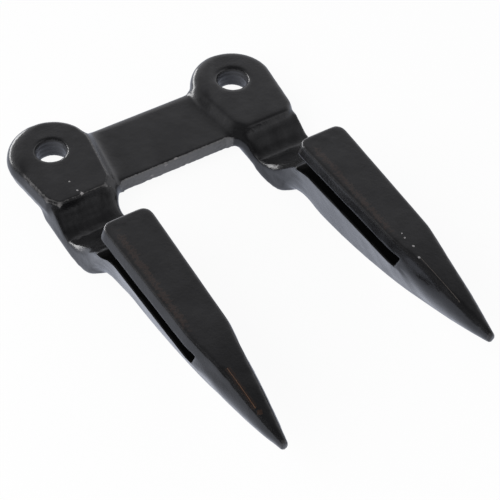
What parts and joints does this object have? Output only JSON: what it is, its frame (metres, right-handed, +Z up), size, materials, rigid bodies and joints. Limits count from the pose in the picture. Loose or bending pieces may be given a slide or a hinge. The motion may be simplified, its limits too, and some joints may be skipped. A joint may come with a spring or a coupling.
{
  "type": "mower knife guard",
  "caption": "Forged knife guard for a sickle mower: pointed fingers with a lip over each knife slot, joined at the rear by a cross bar with bolt pads.",
  "frame": {"origin": "midway between the two bolt holes, on the pads' top faces, which seat against the cutter bar", "axes": "+X from the left finger to the right one seen from above with the tips toward -Y; +Y to the rear; +Z up, out of the seat; the fingers point along -Y"},
  "size_m": [0.108, 0.1697, 0.0325],
  "materials": {
    "black_paint": "thin black semi-gloss paint over forged steel, chipped and worn at the edges"
  },
  "bodies": {
    "root": {"guard_forging": "black_paint"}
  },
  "joints": []
}
